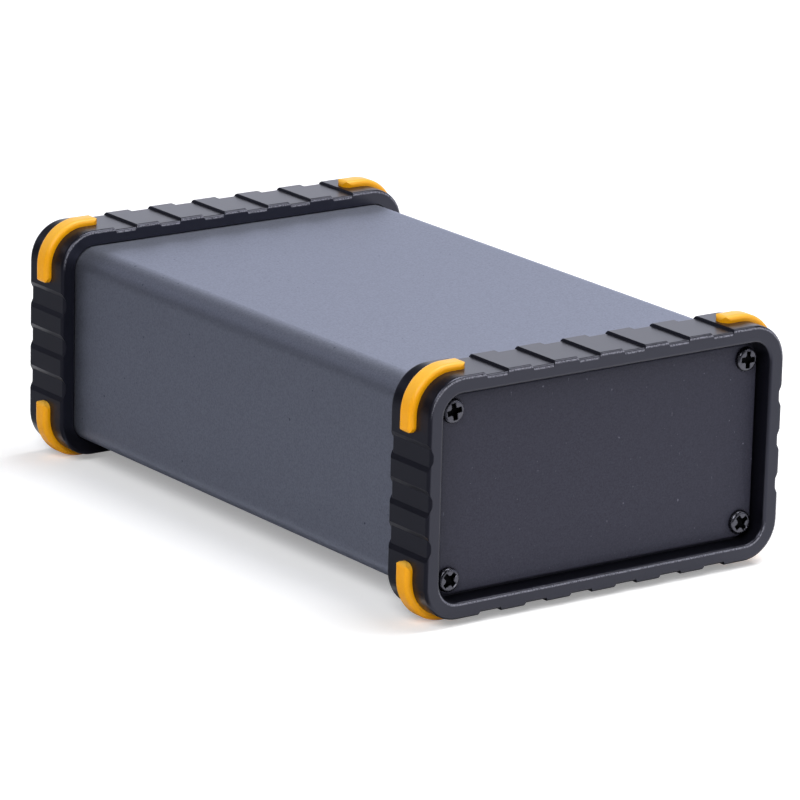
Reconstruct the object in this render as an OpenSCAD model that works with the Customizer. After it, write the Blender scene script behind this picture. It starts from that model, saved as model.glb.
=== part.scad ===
// Desktop junction box: an extruded aluminium sleeve with a screwed panel at each
// end, each set back in a moulded bumper bezel that has raised grip lands and
// soft corner strips. The lower strips are the feet.
// X runs across the width, Y along the length with the front at -Y, and Z up.
// The origin is under the middle of the box, on the surface that it stands on.

/* [Sleeve] */
// Outside width of the extruded sleeve
sleeve_w = 94.2; // [75:0.1:140]
// Outside height of the extruded sleeve
sleeve_h = 49.3; // [44:0.1:90]
// Length that the extrusion is sawn to
sleeve_l = 150; // [60:1:300]
// Outside corner radius of the extrusion
sleeve_r = 5.4; // [4.5:0.1:7]
// Wall of the extrusion
sleeve_wall = 2; // [1.5:0.1:3]

/* [Board slots] */
// Slots in each side wall
slot_count = 2; // [1:1:2]
// Distance between slots
slot_pitch = 18; // [10:0.5:20]
// Clear width of a slot
slot_w = 1.8; // [1.2:0.1:2.5]
// Depth of a slot
slot_depth = 2.5; // [1.5:0.1:4]
// Thickness of the ribs on both sides of a slot
slot_rib = 1.5; // [1:0.1:2]

/* [Bezel] */
// Length of the bezel along the box
bezel_depth = 15; // [13:0.1:22]
// How far the raised lands stand out from the sleeve
bezel_stand_out = 3.85; // [3.4:0.05:5]
// Width of the rim round the window, from the raised lands inwards
rim_w = 4.05; // [3.6:0.05:5]
// Rounding of the outer edges, front and back
edge_r = 0.8; // [0.4:0.1:1.5]
// Rounding of the window's front edge
lip_r = 0.8; // [0.2:0.1:1]
// Thickness of the web between the panel and the sleeve
web_t = 2.9; // [1.5:0.1:4]
// Radius of the web's pad at each screw
web_pad_r = 4.2; // [3.5:0.1:5]

/* [Grip lands] */
// Height of the raised lands over the low ones
land_step = 0.6; // [0.3:0.05:1]
// Reach of the corner lands from the outer corner, to the middle of the flank
land_arm = 15.25; // [14.75:0.05:18]
// Raised lands between the corners, on the top and the bottom
lands_across = 5; // [2:1:8]
// Raised lands between the corners, on each side
lands_up = 2; // [1:1:3]
// Width of the lands' sloping flanks on the top and the bottom
flank_across = 0.3; // [0.2:0.1:1.4]
// Width of the lands' sloping flanks on the sides
flank_up = 1.1; // [0.2:0.1:1.4]

/* [Panel] */
// Thickness of the end panels
panel_t = 2; // [1.5:0.1:3]
// How far the panel's face lies behind the rim
panel_recess = 3.8; // [3:0.1:6]
// Gap between the panel's edge and the window
panel_gap = 1; // [0.2:0.05:1.2]

/* [Screws] */
// Thread diameter
screw_d = 3; // [2.5:0.1:3.5]
// Length under the head
screw_l = 10; // [8:0.5:16]
// Diameter of the pan head
screw_head_d = 5.8; // [5:0.1:6.4]
// Height of the pan head
screw_head_h = 1.3; // [1.2:0.1:2.4]
// Rounding of the head's upper edge
screw_head_r = 0.8; // [0.5:0.1:1]
// Distance from the sleeve's outer faces to the screw's axis
screw_inset = 4.85; // [4.5:0.05:5.5]
// Width across one arm of the cross recess
cross_w = 1.2; // [0.6:0.1:1.3]
// Length of the cross recess, tip to tip
cross_l = 3.6; // [2.6:0.1:3.8]
// Depth of the cross recess
cross_depth = 0.9; // [0.6:0.1:1]
// Wall of the sleeve's screw ports
port_wall = 1.5; // [1.2:0.1:2]

/* [Corner strips] */
// Width of a strip along the box
strip_w = 4.8; // [4:0.1:8]
// How far a strip stands proud of the raised lands
strip_proud = 1.6; // [0.8:0.1:2]
// Depth of the groove that a strip sits in
strip_seat = 1.2; // [0.8:0.1:1.6]
// Reach of a strip along the top or bottom, from the outer corner of the lands
strip_across = 13.95; // [13.2:0.05:14.2]
// Reach of a strip along the side, from the outer corner of the lands
strip_up = 13.35; // [13.2:0.05:13.8]
// Rounding of a strip's outer edges
strip_edge_r = 1.2; // [0.4:0.1:1.4]
// Rounding of the corners at a strip's ends
strip_end_r = 1.9; // [1:0.1:1.9]

/* [Clearances] */
// Gap between the sleeve and the bezel's socket
socket_gap = 0.3; // [0.1:0.05:0.5]
// Gap round a strip in its groove
strip_gap = 0.05; // [0.02:0.01:0.15]
// Added to the thread diameter for the holes that a screw passes through
screw_pass = 0.4; // [0.2:0.05:0.6]
// Gap all round a thread in its port
thread_gap = 0.05; // [0.02:0.01:0.1]

/* [Hidden] */
$fn = 64;
// Spare length of a cutter past the face that it cuts
over = 1;

// All outlines across the box share these corner centres
corner_x = sleeve_w / 2 - sleeve_r;
corner_y = sleeve_h / 2 - sleeve_r;
// Radii of the outlines about the corner centres
bore_r = sleeve_r - sleeve_wall;
socket_r = sleeve_r + socket_gap;
raised_r = sleeve_r + bezel_stand_out;
low_r = raised_r - land_step;
window_r = raised_r - rim_w;
panel_r = window_r - panel_gap;
seat_r = raised_r - strip_seat;
proud_r = raised_r + strip_proud;

// Half sizes of the bezel at the raised lands
half_w = corner_x + raised_r;
half_h = corner_y + raised_r;

// Places along an end, measured inwards from the rim's front face
panel_back = panel_recess + panel_t;
web_back = panel_back + web_t;
box_l = sleeve_l + 2 * web_back;
axis_z = corner_y + proud_r;

// Screw places about the middle of an end
screw_x = sleeve_w / 2 - screw_inset;
screw_y = sleeve_h / 2 - screw_inset;
port_r = screw_d / 2 + port_wall;

// Lands and lows alternate at half a pitch between the corner lands
pitch_across = 2 * (2 * half_w - 2 * land_arm) / (2 * lands_across + 1);
pitch_up = 2 * (2 * half_h - 2 * land_arm) / (2 * lands_up + 1);
// The masks of the lands reach this far below the raised level
land_root = land_step + over;
// Run of a flank down to there
root_across = flank_across * land_root / land_step;
root_up = flank_up * land_root / land_step;

// Places a piece that is drawn with x across, y up and z out of the front face
module at_front() {
    translate([0, -box_l / 2, axis_z])
        rotate([90, 0, 0])
            children();
}

// The same for the rear end, as a mirror image of the front
module at_rear() {
    mirror([0, 1, 0])
        at_front()
            children();
}

// Outline at one radius about the corner centres
module outline(r) {
    square([2 * corner_x, 2 * (corner_y + r)], center = true);
    square([2 * (corner_x + r), 2 * corner_y], center = true);
    for (x = [-1, 1], y = [-1, 1])
        translate([x * corner_x, y * corner_y])
            circle(r);
}

// Carries a section round the outline, with its x measured from the corner centres
module sweep_round() {
    for (k = [0 : 3]) {
        along = k % 2 == 0 ? corner_x : corner_y;
        out = k % 2 == 0 ? corner_y : corner_x;
        rotate([0, 0, 90 * k])
            translate([-along, out, 0]) {
                rotate([90, 0, 90])
                    linear_extrude(2 * along)
                        children();
                rotate([0, 0, 90])
                    rotate_extrude(angle = 90)
                        children();
            }
    }
}

// Repeats a piece at the four screws of an end
module at_screws() {
    for (x = [-1, 1], y = [-1, 1])
        translate([x * screw_x, y * screw_y, 0])
            children();
}

// Section of the rim up to one level, with its outer edges and its lip rounded
module rim_section(level) {
    flat = level - edge_r;
    translate([window_r, -bezel_depth])
        square([flat - window_r, bezel_depth - lip_r]);
    translate([window_r + lip_r, -bezel_depth])
        square([flat - window_r - lip_r, bezel_depth]);
    translate([window_r + lip_r, -lip_r])
        circle(lip_r);
    outer_band(window_r + lip_r, level);
}

// Section of the band under the outer face, with its two edges rounded
module outer_band(inner, level) {
    translate([inner, -bezel_depth])
        square([level - edge_r - inner, bezel_depth]);
    translate([inner, edge_r - bezel_depth])
        square([level - inner, bezel_depth - 2 * edge_r]);
    for (z = [-edge_r, edge_r - bezel_depth])
        translate([level - edge_r, z])
            circle(edge_r);
}

// Mask of one raised land with sloping flanks, from the raised level down
module land_mask(pitch, flank, root) {
    half = pitch / 4 - flank / 2;
    polygon([
        [-half - root, -land_root],
        [half + root, -land_root],
        [half, 0],
        [half, over],
        [-half, over],
        [-half, 0]
    ]);
}

// Mask of the raised land that wraps the upper right corner
module corner_mask() {
    across = land_arm - flank_across / 2;
    up = land_arm - flank_up / 2;
    polygon([
        [half_w + over, half_h + over],
        [half_w - across, half_h + over],
        [half_w - across, half_h],
        [half_w - across - root_across, half_h - land_root],
        [half_w - land_root, half_h - up - root_up],
        [half_w, half_h - up],
        [half_w + over, half_h - up]
    ]);
}

// Places of a row of lands along one side
function land_places(count, pitch) = [for (k = [0 : count - 1]) (k - (count - 1) / 2) * pitch];

module raised_mask() {
    for (side = [0, 180])
        rotate([0, 0, side]) {
            for (x = land_places(lands_across, pitch_across))
                translate([x, half_h])
                    land_mask(pitch_across, flank_across, root_across);
            for (y = land_places(lands_up, pitch_up))
                translate([half_w, y])
                    rotate([0, 0, -90])
                        land_mask(pitch_up, flank_up, root_up);
        }
    for (x = [0, 1], y = [0, 1])
        mirror([x, 0])
            mirror([0, y])
                corner_mask();
}

// Section across a strip or its groove: x from the corner centre, y along the box
module strip_section(width, inner, outer, round_r) {
    translate([inner, -width / 2])
        square([outer - round_r - inner, width]);
    if (round_r > 0) {
        translate([inner, round_r - width / 2])
            square([outer - inner, width - 2 * round_r]);
        for (y = [-1, 1])
            translate([outer - round_r, y * (width / 2 - round_r)])
                circle(round_r);
    }
}

// A bar end with two rounded corners, from x = 0 outwards
module round_end(length, width, r) {
    translate([0, -width / 2])
        square([length - r, width]);
    translate([0, r - width / 2])
        square([length, width - 2 * r]);
    for (y = [-1, 1])
        translate([length - r, y * (width / 2 - r)])
            circle(r);
}

// Straight arm of a strip along x, standing up in y, rounded at its end
module strip_arm_bar(width, inner, outer, length, end_r, round_r) {
    intersection() {
        rotate([90, 0, 90])
            linear_extrude(length)
                strip_section(width, inner, outer, round_r);
        translate([0, outer + over, 0])
            rotate([90, 0, 0])
                linear_extrude(outer - inner + 2 * over)
                    round_end(length, width, end_r);
        if (round_r > 0)
            translate([0, 0, -width / 2 - over])
                linear_extrude(width + 2 * over)
                    round_end(length, 2 * outer, round_r);
    }
}

// Strip about the upper right corner's centre: an arc, an arm along the top and
// one down the side, both longer by spare
module strip_form(width, inner, outer, spare, end_r, round_r) {
    rotate_extrude(angle = 90)
        strip_section(width, inner, outer, round_r);
    mirror([1, 0, 0])
        strip_arm_bar(width, inner, outer, strip_across - raised_r + spare, end_r, round_r);
    rotate([0, 0, -90])
        strip_arm_bar(width, inner, outer, strip_up - raised_r + spare, end_r, round_r);
}

// Moves a strip or groove to one corner, halfway along the bezel
module at_corner(side, level) {
    mirror([side < 0 ? 1 : 0, 0, 0])
        mirror([0, level < 0 ? 1 : 0, 0])
            translate([corner_x, corner_y, -bezel_depth / 2])
                children();
}

module strip_groove() {
    strip_form(
        strip_w + 2 * strip_gap, seat_r - strip_gap, raised_r + over,
        strip_gap, strip_end_r + strip_gap, 0
    );
}

// Web that the panel rests on: open over the sleeve's bore, with a pad at each screw
module web() {
    translate([0, 0, -web_back])
        linear_extrude(web_t)
            difference() {
                outline(low_r - edge_r);
                difference() {
                    outline(bore_r);
                    at_screws()
                        circle(web_pad_r);
                }
            }
}

module bezel() {
    color([0.13, 0.13, 0.15])
        difference() {
            union() {
                sweep_round()
                    rim_section(low_r);
                intersection() {
                    sweep_round()
                        outer_band(socket_r + lip_r, raised_r);
                    translate([0, 0, -bezel_depth - over])
                        linear_extrude(bezel_depth + 2 * over)
                            raised_mask();
                }
                web();
            }
            translate([0, 0, -bezel_depth - over])
                linear_extrude(bezel_depth + over - web_back)
                    outline(socket_r);
            for (side = [-1, 1], level = [-1, 1])
                at_corner(side, level)
                    strip_groove();
            at_screws()
                translate([0, 0, -bezel_depth])
                    cylinder(h = bezel_depth, d = screw_d + screw_pass);
        }
}

module panel() {
    color([0.19, 0.19, 0.22])
        translate([0, 0, -panel_back])
            linear_extrude(panel_t)
                difference() {
                    outline(panel_r);
                    at_screws()
                        circle(d = screw_d + screw_pass);
                }
}

// Pan head screw, with the underside of its head at z = 0
module screw() {
    thread_r = screw_d / 2 - thread_gap;
    head_r = screw_head_d / 2;
    tip = thread_r / 3;
    difference() {
        union() {
            rotate_extrude() {
                square([head_r, screw_head_h - screw_head_r]);
                square([head_r - screw_head_r, screw_head_h]);
                intersection() {
                    square([head_r, screw_head_h]);
                    translate([head_r - screw_head_r, screw_head_h - screw_head_r])
                        circle(screw_head_r);
                }
            }
            translate([0, 0, tip - screw_l])
                cylinder(h = screw_l - tip, r = thread_r);
            translate([0, 0, -screw_l])
                cylinder(h = tip, r1 = thread_r - tip, r2 = thread_r);
        }
        for (turn = [0, 90])
            rotate([0, 0, turn])
                translate([-cross_l / 2, -cross_w / 2, screw_head_h - cross_depth])
                    cube([cross_l, cross_w, cross_depth + over]);
    }
}

module screws() {
    color([0.22, 0.22, 0.24])
        translate([0, 0, -panel_recess])
            at_screws()
                screw();
}

module corner_strip(side, level) {
    color([0.96, 0.68, 0.13])
        at_corner(side, level)
            strip_form(strip_w, seat_r, proud_r, 0, strip_end_r, strip_edge_r);
}

// Ribs of the board slots on the right-hand wall
module slot_ribs() {
    inner = sleeve_w / 2 - sleeve_wall;
    for (y = land_places(slot_count, slot_pitch), edge = [-1, 1])
        translate([inner - slot_depth, y + edge * (slot_w + slot_rib) / 2 - slot_rib / 2])
            square([slot_depth + sleeve_wall / 2, slot_rib]);
}

// Screw port in the upper right corner, filled out to the walls
module port() {
    translate([screw_x, screw_y]) {
        circle(port_r);
        translate([-port_r, 0])
            square([port_r + screw_inset, screw_inset]);
        translate([0, -port_r])
            square([screw_inset, port_r + screw_inset]);
    }
}

module sleeve() {
    color([0.36, 0.37, 0.42])
        translate([0, sleeve_l / 2, axis_z])
            rotate([90, 0, 0])
                linear_extrude(sleeve_l)
                    difference() {
                        union() {
                            difference() {
                                outline(sleeve_r);
                                outline(bore_r);
                            }
                            intersection() {
                                outline(sleeve_r);
                                for (x = [0, 1], y = [0, 1])
                                    mirror([x, 0])
                                        mirror([0, y]) {
                                            port();
                                            slot_ribs();
                                        }
                            }
                        }
                        at_screws()
                            circle(d = screw_d);
                    }
}

sleeve();
at_front() bezel();  // front_bezel
at_front() panel();  // front_panel
at_front() screws();  // front_screws
at_front() corner_strip(-1, 1);  // front_upper_left_strip
at_front() corner_strip(1, 1);  // front_upper_right_strip
at_front() corner_strip(-1, -1);  // front_lower_left_strip
at_front() corner_strip(1, -1);  // front_lower_right_strip
at_rear() bezel();  // rear_bezel
at_rear() panel();  // rear_panel
at_rear() screws();  // rear_screws
at_rear() corner_strip(-1, 1);  // rear_upper_left_strip
at_rear() corner_strip(1, 1);  // rear_upper_right_strip
at_rear() corner_strip(-1, -1);  // rear_lower_left_strip
at_rear() corner_strip(1, -1);  // rear_lower_right_strip
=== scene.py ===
# %% [markdown]
# # Junction box: looks
# The object is a desktop junction box. An extruded aluminium sleeve runs from end
# to end, a moulded black bumper bezel caps each end, a flat panel is screwed in
# behind each rim, and soft orange strips wrap the corners and serve as feet.
# The shapes come from the part's own solids, so this script gives them their
# finishes, rounds the edges of the panels, models the small screws again in more
# detail, and sets up the studio.

# %% Load the part's solids
import math

import bmesh
import bpy
from mathutils import Matrix, Vector


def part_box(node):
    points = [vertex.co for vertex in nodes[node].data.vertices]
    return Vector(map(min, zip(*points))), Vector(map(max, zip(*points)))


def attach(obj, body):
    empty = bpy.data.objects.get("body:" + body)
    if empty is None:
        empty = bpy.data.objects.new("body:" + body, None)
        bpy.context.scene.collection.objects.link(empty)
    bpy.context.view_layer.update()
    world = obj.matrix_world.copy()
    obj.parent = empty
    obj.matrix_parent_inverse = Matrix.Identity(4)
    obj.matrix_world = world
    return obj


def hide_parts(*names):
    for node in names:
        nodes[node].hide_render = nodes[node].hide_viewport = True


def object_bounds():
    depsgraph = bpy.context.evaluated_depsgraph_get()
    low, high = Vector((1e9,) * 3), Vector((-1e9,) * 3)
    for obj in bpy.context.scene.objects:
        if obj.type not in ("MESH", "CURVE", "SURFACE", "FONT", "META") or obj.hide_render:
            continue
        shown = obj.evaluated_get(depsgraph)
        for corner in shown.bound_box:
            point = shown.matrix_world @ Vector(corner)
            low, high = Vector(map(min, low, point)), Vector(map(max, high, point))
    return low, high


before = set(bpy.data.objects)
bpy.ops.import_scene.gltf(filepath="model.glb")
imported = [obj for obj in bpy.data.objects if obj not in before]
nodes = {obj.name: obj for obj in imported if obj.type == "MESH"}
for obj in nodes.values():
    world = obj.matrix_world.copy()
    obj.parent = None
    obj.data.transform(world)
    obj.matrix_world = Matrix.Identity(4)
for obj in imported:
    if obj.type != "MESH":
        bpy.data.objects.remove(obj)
cad_box = [list(corner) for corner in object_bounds()]
print("nodes:", ", ".join(sorted(nodes)))
print("box in mm:", [round(1000 * (high - low), 1) for low, high in zip(*cad_box)])

# %% [markdown]
# ## The camera
# A photograph's camera can be guessed by eye or fitted to edges that show in it.
# Here it was fitted to the corners of the grip lands on both bezels, whose real
# spacing is known. The fit asks for a long lens about 1.3 m away, which is usual
# for product pictures, so the far end of the box is hardly smaller than the near.

# %% Camera at the photograph's place
MM = 0.001
focal_px = 5400.1
picture_px = 800
camera_place = Vector((-734.59, -1009.28, 382.79)) * MM
turn, tilt, roll = (math.radians(angle) for angle in (36.113, 15.931, 1.460))


def add_object(name, data):
    """An object in the scene that holds a mesh, a lamp or a camera."""
    thing = bpy.data.objects.new(name, data)
    bpy.context.collection.objects.link(thing)
    return thing


lens = bpy.data.cameras.new("picture_camera")
lens.sensor_fit = "HORIZONTAL"
lens.sensor_width = 36.0
lens.lens = focal_px * lens.sensor_width / picture_px
camera = add_object("picture_camera", lens)
camera.matrix_world = (
    Matrix.Translation(camera_place)
    @ Matrix.Rotation(-turn, 4, "Z")
    @ Matrix.Rotation(math.pi / 2 - tilt, 4, "X")
    @ Matrix.Rotation(roll, 4, "Z")
)
bpy.context.scene.camera = camera
print("lens in mm:", round(lens.lens, 1))

# %% [markdown]
# ## Colours and nodes
# Colours are picked as sRGB hex values, as a paint chart gives them, but shaders
# work in linear light. One function turns the one into the other. A second small
# function adds a node with its settings and links, so a finish below reads as a
# short list of nodes.

# %% Helpers for colours and nodes
def linear(hex_colour):
    """An sRGB hex colour as linear RGBA."""
    parts = [int(hex_colour[i:i + 2], 16) / 255 for i in (1, 3, 5)]
    return [p / 12.92 if p <= 0.04045 else ((p + 0.055) / 1.055) ** 2.4 for p in parts] + [1.0]


def add_node(tree, kind, inputs=None, **settings):
    """Adds one node, sets its properties, and sets or links its inputs."""
    node = tree.nodes.new(kind)
    for name, value in settings.items():
        setattr(node, name, value)
    for name, value in (inputs or {}).items():
        if isinstance(value, bpy.types.NodeSocket):
            tree.links.new(value, node.inputs[name])
        else:
            node.inputs[name].default_value = value
    return node


def per_metre(size_mm):
    """Scale of a pattern whose features are size_mm apart."""
    return 1000 / size_mm


def new_finish(name):
    """A material and its node tree, which is still empty."""
    finish = bpy.data.materials.new(name)
    finish.use_nodes = True
    finish.node_tree.nodes.clear()
    return finish, finish.node_tree


print("mid grey in linear light:", [round(c, 3) for c in linear("#808080")[:3]])

# %% [markdown]
# ## The table top
# The box stands on a white board. A real white board under soft light comes out
# a little grey, so the paper white of the picture is reached by a small glow that
# only the camera and mirror-like surfaces see. It puts no light on the object,
# and the object's own soft shadow stays on the board.

# %% White board under the box
board_r = 8.0
board_glow = 0.3


def mesh_of(bm, name, finishes):
    """Turns a bmesh into a mesh with its finishes, and frees the bmesh."""
    mesh = bpy.data.meshes.new(name)
    bm.to_mesh(mesh)
    bm.free()
    for finish in finishes:
        mesh.materials.append(finish)
    return mesh


board_finish, tree = new_finish("white_painted_board")
rays = add_node(tree, "ShaderNodeLightPath")
seen = rays.outputs["Is Camera Ray"]
for ray in ("Is Glossy Ray", "Is Transmission Ray"):
    either = add_node(tree, "ShaderNodeMath", {0: seen, 1: rays.outputs[ray]}, operation="MAXIMUM")
    seen = either.outputs[0]
glow = add_node(tree, "ShaderNodeMath", {0: seen, 1: board_glow}, operation="MULTIPLY")
paint = add_node(tree, "ShaderNodeBsdfPrincipled", {
    "Base Color": linear("#F0F0F0"), "Roughness": 0.9, "Specular IOR Level": 0.1,
    "Emission Color": linear("#FFFFFF"), "Emission Strength": glow.outputs[0],
})
add_node(tree, "ShaderNodeOutputMaterial", {"Surface": paint.outputs[0]})

bm = bmesh.new()
bmesh.ops.create_circle(bm, cap_ends=True, segments=64, radius=board_r)
table_top = add_object("table_top", mesh_of(bm, "table_top", [board_finish]))
print("table top:", len(table_top.data.polygons), "face")

# %% [markdown]
# ## The studio round the box
# The photograph has soft light with no hard shadow. The top faces shine because
# they mirror a bright background low behind the box, and the faces that look up
# to the left stay dark because nothing bright hangs there. So the studio is a
# white band along the horizon behind the box, under a dark ceiling and with a dark
# room on the camera's side. One even sky of light would be simpler, but then every
# face would mirror the same white and the box would lose its form.

# %% Studio surroundings
world = bpy.data.worlds.new("studio")
world.use_nodes = True
tree = world.node_tree
tree.nodes.clear()
direction = add_node(tree, "ShaderNodeTexCoord")
height = add_node(tree, "ShaderNodeSeparateXYZ", {0: direction.outputs["Generated"]})
band = add_node(tree, "ShaderNodeMapRange", {
    "Value": height.outputs["Z"],
    "From Min": 0.28, "From Max": 0.5, "To Min": 1.0, "To Max": 0.08,
}, interpolation_type="SMOOTHSTEP")
behind = add_node(tree, "ShaderNodeVectorMath", {
    0: direction.outputs["Generated"], 1: (-math.sin(turn), -math.cos(turn), 0.0),
}, operation="DOT_PRODUCT")
unlit = add_node(tree, "ShaderNodeMapRange", {
    "Value": behind.outputs["Value"],
    "From Min": -0.2, "From Max": 0.5, "To Min": 1.0, "To Max": 0.1,
}, interpolation_type="SMOOTHSTEP")
level = add_node(tree, "ShaderNodeMath", {
    0: band.outputs[0], 1: unlit.outputs[0],
}, operation="MULTIPLY")
sky = add_node(tree, "ShaderNodeBackground", {
    "Color": linear("#E6EAFF"), "Strength": level.outputs[0],
})
add_node(tree, "ShaderNodeOutputWorld", {"Surface": sky.outputs[0]})
bpy.context.scene.world = world
print("studio:", len(tree.nodes), "nodes")

# %% [markdown]
# ## Soft lamps
# Four softboxes light the box: a large one high on the left, one overhead, a low
# one behind the box, and a weak low strip lamp at the front right. Point lamps or
# a sun would be simpler, but they draw hard shadows and small glints. An area lamp
# has a real size, and that size sets how soft its shadow and its gleam are.

# %% Four softboxes
def soft_lamp(name, place, aim, size, watts):
    """A rectangular area lamp at place that faces aim, in metres."""
    lamp = bpy.data.lights.new(name, "AREA")
    lamp.shape = "RECTANGLE"
    lamp.size, lamp.size_y = size
    lamp.energy = watts
    holder = add_object(name, lamp)
    holder.location = place
    holder.rotation_mode = "QUATERNION"
    holder.rotation_quaternion = (Vector(aim) - Vector(place)).to_track_quat("-Z", "Y")
    return holder


middle = (0.0, 0.0, 0.03)
lamps = [
    soft_lamp("left_softbox", (-0.96, -0.72, 1.06), middle, (0.9, 0.9), 16.0),
    soft_lamp("top_softbox", (0.50, -0.10, 1.50), middle, (0.9, 0.9), 20.0),
    soft_lamp("back_softbox", (0.90, 1.24, 0.50), middle, (1.4, 0.7), 1.75),
    soft_lamp("front_strip_lamp", (0.85, -1.06, 0.60), middle, (0.9, 0.2), 2.0),
]
bpy.context.scene.view_settings.view_transform = "Standard"
print("lamps:", [(lamp.name, lamp.data.energy) for lamp in lamps])

# %% [markdown]
# ## The flag
# Photographers keep a dark side on shiny things with a flag: a grey card beside
# the object that its faces mirror in place of the white table. Here a long card
# lies to the left of the box, reaches round in front of it and is bent up at its
# far side, where it is darker. A second card lies under the box. A strip of white
# table stays open between the two, because the lower flanks of the grip lands
# mirror it. Only reflections see the cards, so the table stays white and the light
# on the box stays the same.

# %% Finishes of the cards
card_finishes = []
for name, colour in (("grey_card", "#88898D"), ("dark_card", "#4C4C50")):
    finish, tree = new_finish(name)
    paper = add_node(tree, "ShaderNodeBsdfDiffuse", {"Color": linear(colour)})
    add_node(tree, "ShaderNodeOutputMaterial", {"Surface": paper.outputs[0]})
    card_finishes.append(finish)
print("cards:", [finish.name for finish in card_finishes])

# %% Grey cards at the left and under the box
touch = 0.001 * MM
tuck, front_gap, open_strip, lift = 0.05 * MM, 0.3 * MM, 2.5 * MM, 1.0 * MM
box_left, box_front = cad_box[0][:2]
near_x, near_y = box_left + tuck, box_front - front_gap
far_x, front_y, back_y = -0.6, -0.8, 1.6
reach_round, bent_up = 0.25, 0.5


def lay_card(bm, low, high):
    """A flat card between two corners, just above the table, in metres."""
    corners = bmesh.ops.create_grid(bm, x_segments=1, y_segments=1, size=0.5)["verts"]
    middle_of_card = [(a + b) / 2 for a, b in zip(low, high)]
    bmesh.ops.scale(bm, verts=corners, vec=(high[0] - low[0], high[1] - low[1], 1.0))
    bmesh.ops.translate(bm, verts=corners, vec=(*middle_of_card, lift))


bm = bmesh.new()
lay_card(bm, (far_x, front_y), (near_x, back_y))
whole_card = bm.verts[:] + bm.edges[:] + bm.faces[:]
bmesh.ops.bisect_plane(
    bm, geom=whole_card, plane_co=(0, near_y, 0), plane_no=(0, 1, 0), dist=touch,
)
front_corner = [v for v in bm.verts if v.co.x > near_x - MM and v.co.y < front_y + MM]
bmesh.ops.translate(bm, verts=front_corner, vec=(reach_round, 0, 0))
far_side = [e for e in bm.edges if all(v.co.x < far_x + MM for v in e.verts)]
bent = bmesh.ops.extrude_edge_only(bm, edges=far_side)["geom"]
raised = [v for v in bent if isinstance(v, bmesh.types.BMVert)]
bmesh.ops.translate(bm, verts=raised, vec=(0, 0, bent_up))
under_x = near_x + open_strip
lay_card(bm, (under_x, near_y), (-under_x, -near_y))
for face in bm.faces:
    face.material_index = int(face.calc_center_median().z > bent_up / 4)

flag = add_object("left_flag", mesh_of(bm, "left_flag", card_finishes))
flag.visible_camera = False
flag.visible_diffuse = False
flag.visible_transmission = False
flag.visible_shadow = False
print("flag spans in mm:", [round(1000 * side) for side in flag.dimensions])

# %% [markdown]
# ## The sleeve: bead-blasted, anodised aluminium
# The extrusion is blasted with fine glass beads and then anodised blue grey. Up
# close that is a skin of tiny dimples about 0.1 mm across, which breaks up
# reflections into a soft silky sheen, with a darker pit here and there. It could
# be drawn with displaced geometry, but at this size a bump and a slight change of
# tint per dimple do the same. Dimples and pits are drawn 0.45 mm and 0.9 mm apart,
# coarser than the real ones, so that they show in a picture of the whole box.

# %% Finish of the sleeve
# Metal without clear mirror images: soft sheen, cool grey, fine sparkle.
sleeve_finish, tree = new_finish("bead_blasted_anodised_aluminium")
place = add_node(tree, "ShaderNodeTexCoord")
dimples = add_node(tree, "ShaderNodeTexNoise", {
    "Vector": place.outputs["Object"], "Scale": per_metre(0.45), "Detail": 2.0, "Roughness": 0.6,
})
tint = add_node(tree, "ShaderNodeMix", {
    "Factor": dimples.outputs["Fac"], "A": linear("#848996"), "B": linear("#B4B8C8"),
}, data_type="RGBA")
pits = add_node(tree, "ShaderNodeTexNoise", {
    "Vector": place.outputs["Object"], "Scale": per_metre(0.9), "Detail": 0.0,
})
points = add_node(tree, "ShaderNodeMapRange", {
    "Value": pits.outputs["Fac"], "From Min": 0.84, "From Max": 0.9,
})
tint = add_node(tree, "ShaderNodeMix", {
    "Factor": points.outputs[0], "A": tint.outputs[2], "B": linear("#6C717E"),
}, data_type="RGBA")
skin = add_node(tree, "ShaderNodeBump", {
    "Height": dimples.outputs["Fac"], "Distance": 0.02 * MM, "Strength": 0.5,
})
metal = add_node(tree, "ShaderNodeBsdfPrincipled", {
    "Base Color": tint.outputs[2], "Metallic": 1.0, "Roughness": 0.5,
    "Specular Tint": linear("#E4E6EE"), "Normal": skin.outputs[0],
})
add_node(tree, "ShaderNodeOutputMaterial", {"Surface": metal.outputs[0]})
nodes["sleeve"].material_slots[0].material = sleeve_finish
print("sleeve finish:", len(tree.nodes), "nodes")

# %% [markdown]
# ## The bezels: moulded black plastic
# The bumper bezels are injection moulded in black ABS. The mould is spark eroded,
# which prints a fine even grain on the plastic and takes the shine off it. What
# shows is mostly the soft reflection of the studio, so the colour itself is close
# to black. Where the outer edges of the rims face along the box and tilt a little
# upwards, they are painted paler in patches of the grain: a painted highlight in
# place of the gleam of a low lamp in front. The direction of the surface decides
# where it goes, so it fits any size of the box.

# %% Finish of the bezels
# Deep black with a dry satin sheen at grazing angles. The grain is drawn 0.4 mm
# apart, coarser than the real one, so that it shows.
bezel_finish, tree = new_finish("spark_textured_black_abs")
place = add_node(tree, "ShaderNodeTexCoord")
grain = add_node(tree, "ShaderNodeTexNoise", {
    "Vector": place.outputs["Object"], "Scale": per_metre(0.4), "Detail": 2.0, "Roughness": 0.55,
})
tint = add_node(tree, "ShaderNodeMix", {
    "Factor": grain.outputs["Fac"], "A": linear("#07070C"), "B": linear("#0D0D14"),
}, data_type="RGBA")
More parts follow.
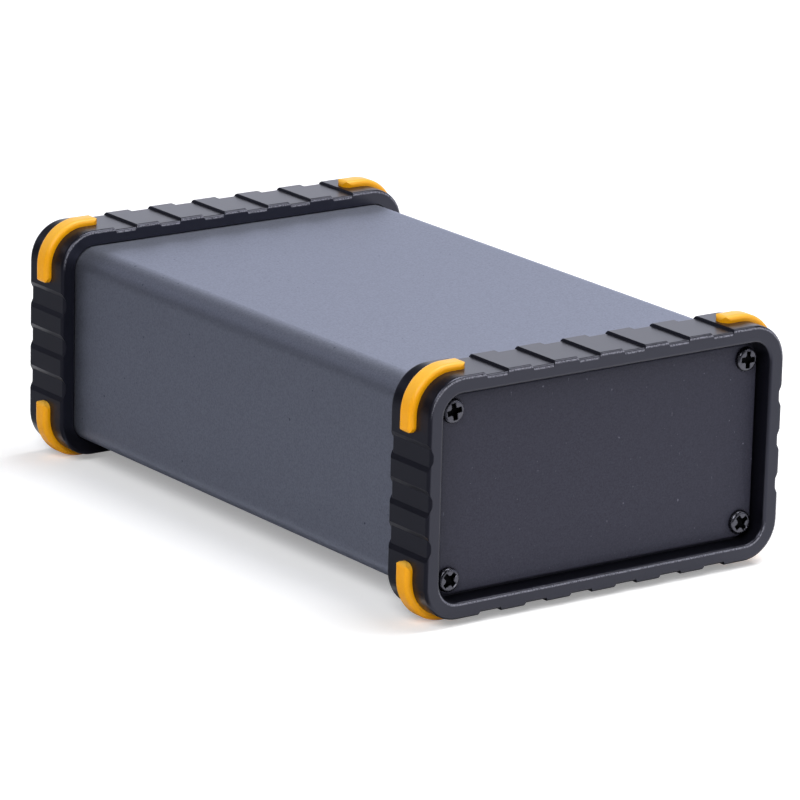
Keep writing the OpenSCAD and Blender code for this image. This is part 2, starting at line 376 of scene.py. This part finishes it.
# Painted highlight on the rims' edges: paler where the surface faces along the box
# and is tilted a little upwards, in patches of the grain.
facing = add_node(tree, "ShaderNodeSeparateXYZ", {0: place.outputs["Normal"]})
along = add_node(tree, "ShaderNodeMath", {0: facing.outputs["Y"]}, operation="ABSOLUTE")
along = add_node(tree, "ShaderNodeMapRange", {
    "Value": along.outputs[0], "From Min": 0.75, "From Max": 0.9,
})
upward = add_node(tree, "ShaderNodeMapRange", {
    "Value": facing.outputs["Z"], "From Min": 0.03, "From Max": 0.18,
})
highlight_grain = add_node(tree, "ShaderNodeMapRange", {
    "Value": grain.outputs["Fac"], "From Min": 0.3, "From Max": 0.6,
})
painted_edge_highlight = along
for share in (upward, highlight_grain):
    painted_edge_highlight = add_node(tree, "ShaderNodeMath", {
        0: painted_edge_highlight.outputs[0], 1: share.outputs[0],
    }, operation="MULTIPLY")
# The pale grey is the painted highlight, mixed in where the edge mask is high.
tint = add_node(tree, "ShaderNodeMix", {
    "Factor": painted_edge_highlight.outputs[0], "A": tint.outputs[2], "B": linear("#888892"),
}, data_type="RGBA")
skin = add_node(tree, "ShaderNodeBump", {
    "Height": grain.outputs["Fac"], "Distance": 0.02 * MM, "Strength": 0.2,
})
plastic = add_node(tree, "ShaderNodeBsdfPrincipled", {
    "Base Color": tint.outputs[2], "Roughness": 0.31, "IOR": 1.55,
    "Specular Tint": linear("#E2E4FF"), "Normal": skin.outputs[0],
})
add_node(tree, "ShaderNodeOutputMaterial", {"Surface": plastic.outputs[0]})
for name in ("front_bezel", "rear_bezel"):
    nodes[name].material_slots[0].material = bezel_finish
print("bezel finish:", len(tree.nodes), "nodes")

# %% [markdown]
# ## The end panels: black anodised sheet
# The panels are punched from 2 mm aluminium sheet, blasted and anodised black.
# The dye fills the pores of the oxide and swallows the gleam of the metal under
# it. So the film is shaded as a dark mineral skin that scatters light, not as bare
# metal, and a few lighter points remain where the blasting left a facet. Grain and
# points are drawn coarser than the real ones, so that they show.

# %% Finish of the panels
# Flat charcoal with a fine grain and sparse lighter points, no clear reflections.
panel_finish, tree = new_finish("black_anodised_aluminium_sheet")
place = add_node(tree, "ShaderNodeTexCoord")
dimples = add_node(tree, "ShaderNodeTexNoise", {
    "Vector": place.outputs["Object"], "Scale": per_metre(0.4), "Detail": 2.0, "Roughness": 0.6,
})
tint = add_node(tree, "ShaderNodeMix", {
    "Factor": dimples.outputs["Fac"], "A": linear("#24242F"), "B": linear("#414150"),
}, data_type="RGBA")
specks = add_node(tree, "ShaderNodeTexNoise", {
    "Vector": place.outputs["Object"], "Scale": per_metre(0.9), "Detail": 0.0,
})
points = add_node(tree, "ShaderNodeMapRange", {
    "Value": specks.outputs["Fac"], "From Min": 0.82, "From Max": 0.88,
})
tint = add_node(tree, "ShaderNodeMix", {
    "Factor": points.outputs[0], "A": tint.outputs[2], "B": linear("#666674"),
}, data_type="RGBA")
skin = add_node(tree, "ShaderNodeBump", {
    "Height": dimples.outputs["Fac"], "Distance": 0.02 * MM, "Strength": 0.4,
})
oxide = add_node(tree, "ShaderNodeBsdfPrincipled", {
    "Base Color": tint.outputs[2], "Roughness": 0.6, "Specular IOR Level": 0.25,
    "Normal": skin.outputs[0],
})
add_node(tree, "ShaderNodeOutputMaterial", {"Surface": oxide.outputs[0]})
print("panel finish:", len(tree.nodes), "nodes")

# %% [markdown]
# ## The panels' edges
# Punched sheet has sharp burrs, so panels are tumbled before they are anodised,
# which rounds their edges. The rounded edge lies in the shade of the rim and draws
# a dark line round the panel. It could be drawn as a darker tint, but here the
# solid's own face edge is rounded, so the line also follows other light.

# %% Panels with tumbled edges
tumbled_r, corner_reach = 0.5 * MM, 1.4 * MM
flat_angle, sharp_angle = math.radians(0.5), math.radians(35)


def round_off(bm, edges, radius, steps):
    """Rounds edges of a bmesh in so many steps; one step makes a chamfer."""
    bmesh.ops.bevel(
        bm, geom=edges, offset=radius, offset_type="OFFSET", affect="EDGES",
        segments=steps, profile=0.5, material=-1,
    )


def tumbled_panel(name, node, facing):
    """The plate of a CAD node with a rounded face edge; facing is -1 in front, 1 behind."""
    low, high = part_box(node)
    face_y = low.y if facing < 0 else high.y
    bm = bmesh.new()
    bm.from_mesh(nodes[node].data)
    bmesh.ops.remove_doubles(bm, verts=bm.verts[:], dist=touch)
    bmesh.ops.dissolve_limit(bm, angle_limit=flat_angle, verts=bm.verts[:], edges=bm.edges[:])
    outer = []
    for edge in bm.edges:
        x, _, z = (edge.verts[0].co + edge.verts[1].co) / 2
        inside = min(x - low.x, high.x - x, z - low.z, high.z - z)
        on_face = all(abs(v.co.y - face_y) < touch for v in edge.verts)
        on_side = any(abs(f.normal.y) < 0.5 for f in edge.link_faces)
        if on_face and on_side and inside < corner_reach:
            outer.append(edge)
    round_off(bm, outer, tumbled_r, steps=4)
    for face in bm.faces:
        face.smooth = True
    mesh = mesh_of(bm, name, [panel_finish])
    mesh.set_sharp_from_angle(angle=sharp_angle)
    piece = add_object(name, mesh)
    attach(piece, "root")
    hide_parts(node)
    return piece, len(outer)


for name, node, facing in (
    ("front_tumbled_panel", "front_panel", -1), ("rear_tumbled_panel", "rear_panel", 1),
):
    piece, edges = tumbled_panel(name, node, facing)
    print(name, "edges rounded:", edges, "faces:", len(piece.data.polygons))

# %% [markdown]
# ## The corner strips: soft orange rubber
# The strips are moulded thermoplastic rubber, pressed into grooves in the bezels.
# Rubber like this is strongly coloured, a little waxy and slightly glossy on the
# rounded edges. Where the strips face up they are painted paler: painted light in
# place of the light from above. More light from above would do that too, but it
# would whiten the lands beside them, so the light on top is a painted tint here.

# %% Finish of the strips
# Warm orange yellow, painted paler on top as painted light from above, with a soft
# satin highlight and a very slight unevenness.
strip_finish, tree = new_finish("moulded_orange_rubber")
place = add_node(tree, "ShaderNodeTexCoord")
mottle = add_node(tree, "ShaderNodeTexNoise", {
    "Vector": place.outputs["Object"], "Scale": per_metre(0.6), "Detail": 2.0,
})
tint = add_node(tree, "ShaderNodeMix", {
    "Factor": mottle.outputs["Fac"], "A": linear("#F2A000"), "B": linear("#FAAF04"),
}, data_type="RGBA")
facing = add_node(tree, "ShaderNodeSeparateXYZ", {0: place.outputs["Normal"]})
# Painted light: faces that look up are tinted paler, as if lit from above.
painted_top_light = add_node(tree, "ShaderNodeMapRange", {
    "Value": facing.outputs["Z"], "From Min": 0.2, "From Max": 0.9, "To Max": 0.3,
})
tint = add_node(tree, "ShaderNodeMix", {
    "Factor": painted_top_light.outputs[0], "A": tint.outputs[2], "B": linear("#E8D978"),
}, data_type="RGBA")
skin = add_node(tree, "ShaderNodeBump", {
    "Height": mottle.outputs["Fac"], "Distance": 0.01 * MM, "Strength": 0.3,
})
rubber = add_node(tree, "ShaderNodeBsdfPrincipled", {
    "Base Color": tint.outputs[2], "Roughness": 0.38, "IOR": 1.36, "Normal": skin.outputs[0],
})
add_node(tree, "ShaderNodeOutputMaterial", {"Surface": rubber.outputs[0]})
strip_names = [name for name in nodes if name.endswith("_strip")]
for name in strip_names:
    nodes[name].material_slots[0].material = strip_finish
print("strips finished:", len(strip_names))

# %% [markdown]
# ## The screws: M3 pan heads with a cross recess
# Each panel is held by four pan head screws. The head is a short cylinder with a
# rounded upper edge, and the driver's cross is punched into it, so its mouth has a
# rolled edge and its wings narrow towards the bottom. A boolean cut would do, but
# cutting the top face along the wings, insetting that cross and pushing it down
# keeps clean faces and gives the taper.

# %% One screw
head_r, head_h, head_edge_r = 2.9 * MM, 1.3 * MM, 0.8 * MM
wing, reach, heart = 0.68 * MM, 2.05 * MM, 1.2 * MM
recess_depth, rolled = 1.0 * MM, 0.12 * MM
shank_r, shank_length, tip_chamfer = 1.45 * MM, 10 * MM, 0.45 * MM


def cut_across(bm, faces, angle, offset):
    """Cuts faces with an upright plane, turned by angle in degrees, and returns the pieces."""
    normal = Matrix.Rotation(math.radians(angle), 3, "Z") @ Vector((1, 0, 0))
    edges = [e for f in faces for e in f.edges]
    corners = [v for f in faces for v in f.verts]
    geometry = list(dict.fromkeys(faces + edges + corners))
    cut = bmesh.ops.bisect_plane(
        bm, geom=geometry, plane_co=normal * offset, plane_no=normal, dist=touch,
    )
    return [item for item in cut["geom"] if isinstance(item, bmesh.types.BMFace)]


def punch_cross(bm):
    """Cuts the cross out of the head's top face and pushes it down, narrower at the bottom."""
    top = [f for f in bm.faces if f.normal.z > 0.99 and len(f.verts) > 8]
    cuts = [(angle, offset) for angle in (0, 90) for offset in (-reach, -wing, wing, reach)]
    cuts += [(angle, offset) for angle in (45, 135) for offset in (-heart, heart)]
    for angle, offset in cuts:
        top = cut_across(bm, top, angle, offset)
    cross = []
    for face in top:
        x, y = (abs(c) for c in face.calc_center_median()[:2])
        if max(x, y) < reach and (min(x, y) < wing or x + y < heart * math.sqrt(2)):
            cross.append(face)
    bmesh.ops.inset_region(
        bm, faces=cross, thickness=rolled, depth=-rolled,
        use_even_offset=True, use_boundary=True,
    )
    for share, narrow in ((0.8, 0.88), (0.2, 0.35)):
        pushed = bmesh.ops.extrude_face_region(bm, geom=cross)["geom"]
        bmesh.ops.delete(bm, geom=[f for f in cross if f.is_valid], context="FACES_ONLY")
        cross = [item for item in pushed if isinstance(item, bmesh.types.BMFace)]
        floor = list(dict.fromkeys(v for f in cross for v in f.verts))
        bmesh.ops.translate(bm, verts=floor, vec=(0, 0, -share * recess_depth))
        bmesh.ops.scale(bm, verts=floor, vec=(narrow, narrow, 1.0))


def pan_head_screw():
    """A screw along Z in metres, with the underside of its head at z = 0."""
    bm = bmesh.new()
    bmesh.ops.create_cone(
        bm, cap_ends=True, segments=48, radius1=head_r, radius2=head_r, depth=head_h,
    )
    bmesh.ops.translate(bm, verts=bm.verts[:], vec=(0, 0, head_h / 2))
    rim = [e for e in bm.edges if all(v.co.z > head_h - touch for v in e.verts)]
    round_off(bm, rim, head_edge_r, steps=6)
    punch_cross(bm)

    shank = bmesh.ops.create_cone(
        bm, cap_ends=True, segments=32, radius1=shank_r, radius2=shank_r, depth=shank_length,
    )["verts"]
    bmesh.ops.translate(bm, verts=shank, vec=(0, 0, -shank_length / 2))
    tip = [e for e in bm.edges if all(v.co.z < touch - shank_length for v in e.verts)]
    round_off(bm, tip, tip_chamfer, steps=1)
    bmesh.ops.recalc_face_normals(bm, faces=bm.faces[:])
    # Faces in the recess get the second finish, whose near black is painted shade.
    for face in bm.faces:
        x, y, z = face.calc_center_median()
        in_recess = math.hypot(x, y) < reach and touch < z < head_h - rolled
        face.material_index = int(in_recess)
    # The operators leave no fixed order, so points and faces are sorted along a
    # slanted line, which makes the mesh the same in every run.
    slant = Vector((1.0, math.sqrt(2), math.sqrt(3)))
    bm.verts.sort(key=lambda v: v.co.dot(slant))
    bm.faces.sort(key=lambda f: f.calc_center_median().dot(slant))
    return bm


sample = pan_head_screw()
open_edges = sum(not e.is_manifold for e in sample.edges)
print("one screw:", len(sample.faces), "faces, open edges:", open_edges)
sample.free()

# %% [markdown]
# ## Screws: black zinc plated steel
# Zinc plating that is passivated black leaves a dark metal with a dull gleam.
# Handling polishes the head a little. The recess is tinted near black: painted
# shade in the hollow of the cross. One finish with a darker tint by depth would do,
# but two finishes on their own faces keep the edge between them sharp.

# %% Finishes of the screws
# Dark metal, smoother than the panel, so its rounded edge draws a thin highlight,
# and a dull near black in the recess, painted shade that makes the cross stand out.
screw_finishes = []
for name, dark, light, smooth, dull in (
    ("black_zinc_plated_steel", "#44444A", "#5C5C64", 0.2, 0.34),
    ("zinc_recess_painted_shade", "#060607", "#101012", 0.4, 0.6),
):
    finish, tree = new_finish(name)
    place = add_node(tree, "ShaderNodeTexCoord")
    mottle = add_node(tree, "ShaderNodeTexNoise", {
        "Vector": place.outputs["Object"], "Scale": per_metre(0.5), "Detail": 2.0,
    })
    tint = add_node(tree, "ShaderNodeMix", {
        "Factor": mottle.outputs["Fac"], "A": linear(dark), "B": linear(light),
    }, data_type="RGBA")
    gleam = add_node(tree, "ShaderNodeMapRange", {
        "Value": mottle.outputs["Fac"], "To Min": smooth, "To Max": dull,
    })
    steel = add_node(tree, "ShaderNodeBsdfPrincipled", {
        "Base Color": tint.outputs[2], "Metallic": 1.0, "Roughness": gleam.outputs[0],
    })
    add_node(tree, "ShaderNodeOutputMaterial", {"Surface": steel.outputs[0]})
    screw_finishes.append(finish)
print("screw finishes:", [finish.name for finish in screw_finishes])

# %% [markdown]
# ## The screws in their holes
# A panel's four screws are one node of the part, so they become one piece here as
# well. Copies of one object with their own places would be lighter, but a finished
# piece keeps its place in its mesh. So each screw is built, turned and moved to its
# hole, and all four are gathered in one mesh. On the real box each screw stopped at
# its own turn when it was tightened, so the crosses point different ways.

# %% Screws at both ends
stopped_at = [math.radians(angle) for angle in (45, 11, 35, -4)]


def screw_set(name, node, facing):
    """Four screws in the places of a CAD node; facing is -1 in front, 1 behind."""
    low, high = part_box(node)
    seat_y = high.y - shank_length if facing < 0 else low.y + shank_length
    across = (low.x + head_r, high.x - head_r)
    up = (low.z + head_r, high.z - head_r)
    holes = [(x, seat_y, z) for x in across for z in up]
    lying = Matrix.Rotation(-facing * math.pi / 2, 3, "X")
    whole = bmesh.new()
    for hole, angle in zip(holes, stopped_at):
        one = pan_head_screw()
        turned = lying @ Matrix.Rotation(angle, 3, "Z")
        bmesh.ops.rotate(one, verts=one.verts[:], cent=(0, 0, 0), matrix=turned)
        bmesh.ops.translate(one, verts=one.verts[:], vec=hole)
        part = mesh_of(one, "one_screw", [])
        whole.from_mesh(part)
        bpy.data.meshes.remove(part)
    mesh = mesh_of(whole, name, screw_finishes)
    mesh.set_sharp_from_angle(angle=sharp_angle)
    piece = add_object(name, mesh)
    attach(piece, "root")
    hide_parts(node)
    return piece


for name, node, facing in (
    ("front_pan_screws", "front_screws", -1), ("rear_pan_screws", "rear_screws", 1),
):
    piece = screw_set(name, node, facing)
    spans = [round(1000 * side, 2) for side in piece.dimensions]
    print(name, "faces:", len(piece.data.polygons), "spans in mm:", spans)
